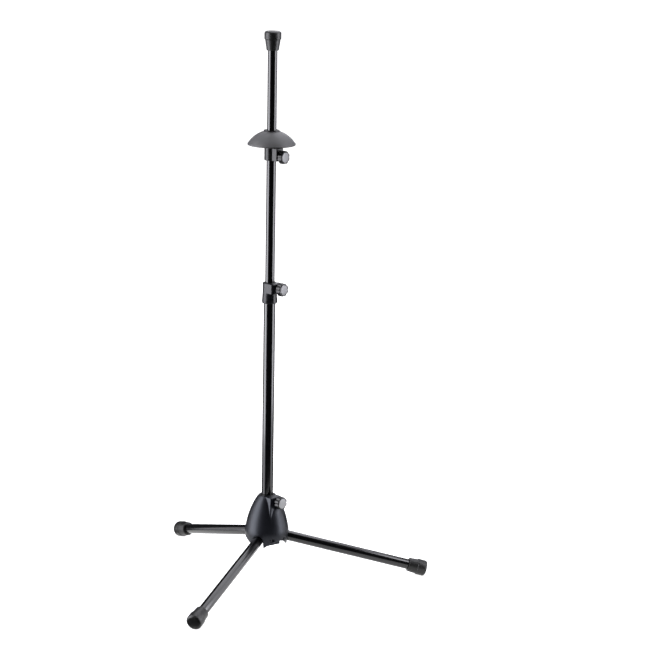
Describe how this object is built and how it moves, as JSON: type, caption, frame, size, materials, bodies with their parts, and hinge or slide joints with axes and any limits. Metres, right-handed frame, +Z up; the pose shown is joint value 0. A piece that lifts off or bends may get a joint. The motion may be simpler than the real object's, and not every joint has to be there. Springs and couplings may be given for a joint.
{
  "type": "trombone stand",
  "caption": "Folding floor stand for a trombone: a telescopic pole in a tripod base, with a domed bell rest on a sliding collar, clamped by fluted thumb screws.",
  "frame": {"origin": "on the floor, at the middle of the foot caps' footprint; the pole stands 66.85 mm towards -X", "axes": "+Z up along the pole, +X along one leg; the other two legs point 120 degrees to each side of it"},
  "size_m": [0.4379, 0.5024, 0.9613],
  "materials": {
    "black_casting": "semi-gloss black paint on a die casting",
    "black_tube": "gloss black paint on steel tube",
    "grey_clamp": "satin grey",
    "rubber": "matte dark grey",
    "grey_dome": "matte mid grey",
    "black_plastic": "satin black",
    "bright_inlay": "bright silvery",
    "zinc_steel": "zinc plated",
    "black_steel": "blackened steel",
    "brass": "turned"
  },
  "bodies": {
    "base": {"base_casting": "black_casting", "base_bush": "black_plastic", "hinge_pin_1": "black_steel", "hinge_pin_2": "black_steel", "hinge_pin_3": "black_steel"},
    "lower_pole": {"tube_lock_plug": "black_plastic", "lower_tube": "black_tube", "extension_clamp": "grey_clamp", "clamp_bush": "black_plastic"},
    "extension_guide": {"extension_guide_plug": "black_plastic"},
    "upper_pole": {"upper_tube": "black_tube", "top_cap": "rubber"},
    "rest_carriage": {"rest_collar": "black_plastic", "bell_rest": "grey_dome", "rest_ring": "black_plastic"},
    "leg_1": {"leg_tube_1": "black_tube", "leg_hinge_block_1": "black_plastic", "foot_cap_1": "rubber"},
    "leg_2": {"leg_tube_2": "black_tube", "leg_hinge_block_2": "black_plastic", "foot_cap_2": "rubber"},
    "leg_3": {"leg_tube_3": "black_tube", "leg_hinge_block_3": "black_plastic", "foot_cap_3": "rubber"},
    "base_pad": {"base_pressure_pad": "brass"},
    "base_thumb_screw": {"base_screw": "zinc_steel", "base_knob": "black_plastic", "base_inlay": "bright_inlay"},
    "clamp_pad": {"clamp_pressure_pad": "brass"},
    "clamp_thumb_screw": {"clamp_screw": "zinc_steel", "clamp_knob": "black_plastic", "clamp_inlay": "bright_inlay"},
    "rest_pad": {"rest_pressure_pad": "brass"},
    "rest_thumb_screw": {"rest_screw": "zinc_steel", "rest_knob": "black_plastic", "rest_inlay": "bright_inlay"}
  },
  "joints": [
    {"name": "tube_lift", "type": "slide", "parent": "base", "child": "lower_pole", "axis": [0, 0, 1], "range_m": [0, 0.028]},
    {"name": "extension_slide", "type": "slide", "parent": "lower_pole", "child": "extension_guide", "axis": [0, 0, 1], "range_m": [-0.14, 0.12]},
    {"name": "extension_swivel", "type": "hinge", "parent": "extension_guide", "child": "upper_pole", "pos_m": [-0.06685, 0, 0.353], "axis": [0, 0, 1], "continuous": true},
    {"name": "rest_slide", "type": "slide", "parent": "upper_pole", "child": "rest_carriage", "axis": [0, 0, 1], "range_m": [-0.06, 0.12]},
    {"name": "leg_fold_1", "type": "hinge", "parent": "base", "child": "leg_1", "pos_m": [-0.03885, 0, 0.0813], "axis": [0, 1, 0], "range_deg": [0, 75]},
    {"name": "leg_fold_2", "type": "hinge", "parent": "base", "child": "leg_2", "pos_m": [-0.08085, 0.02425, 0.0813], "axis": [-0.866, -0.5, 0], "range_deg": [0, 75]},
    {"name": "leg_fold_3", "type": "hinge", "parent": "base", "child": "leg_3", "pos_m": [-0.08085, -0.02425, 0.0813], "axis": [0.866, -0.5, 0], "range_deg": [0, 75]},
    {"name": "base_pad_travel", "type": "slide", "parent": "base", "child": "base_pad", "axis": [0.6428, -0.766, 0], "range_m": [0, 0.002]},
    {"name": "base_knob_turn", "type": "hinge", "parent": "base_pad", "child": "base_thumb_screw", "pos_m": [-0.04544, -0.02551, 0.1462], "axis": [0.6428, -0.766, 0], "range_deg": [0, 720]},
    {"name": "clamp_pad_travel", "type": "slide", "parent": "lower_pole", "child": "clamp_pad", "axis": [0.6561, -0.7547, 0], "range_m": [0, 0.002]},
    {"name": "clamp_knob_turn", "type": "hinge", "parent": "clamp_pad", "child": "clamp_thumb_screw", "pos_m": [-0.04776, -0.02196, 0.5248], "axis": [0.6561, -0.7547, 0], "range_deg": [0, 720]},
    {"name": "rest_pad_travel", "type": "slide", "parent": "rest_carriage", "child": "rest_pad", "axis": [0.7071, -0.7071, 0], "range_m": [0, 0.002]},
    {"name": "rest_knob_turn", "type": "hinge", "parent": "rest_pad", "child": "rest_thumb_screw", "pos_m": [-0.04804, -0.01881, 0.7518], "axis": [0.7071, -0.7071, 0], "range_deg": [0, 720]}
  ],
  "couplings": [
    {"joint": "leg_fold_1", "follows": "tube_lift", "rad_per_m": 46.63},
    {"joint": "leg_fold_2", "follows": "tube_lift", "rad_per_m": 46.63},
    {"joint": "leg_fold_3", "follows": "tube_lift", "rad_per_m": 46.63},
    {"joint": "base_knob_turn", "follows": "base_pad_travel", "rad_per_m": 6283},
    {"joint": "clamp_knob_turn", "follows": "clamp_pad_travel", "rad_per_m": 6283},
    {"joint": "rest_knob_turn", "follows": "rest_pad_travel", "rad_per_m": 6283}
  ]
}
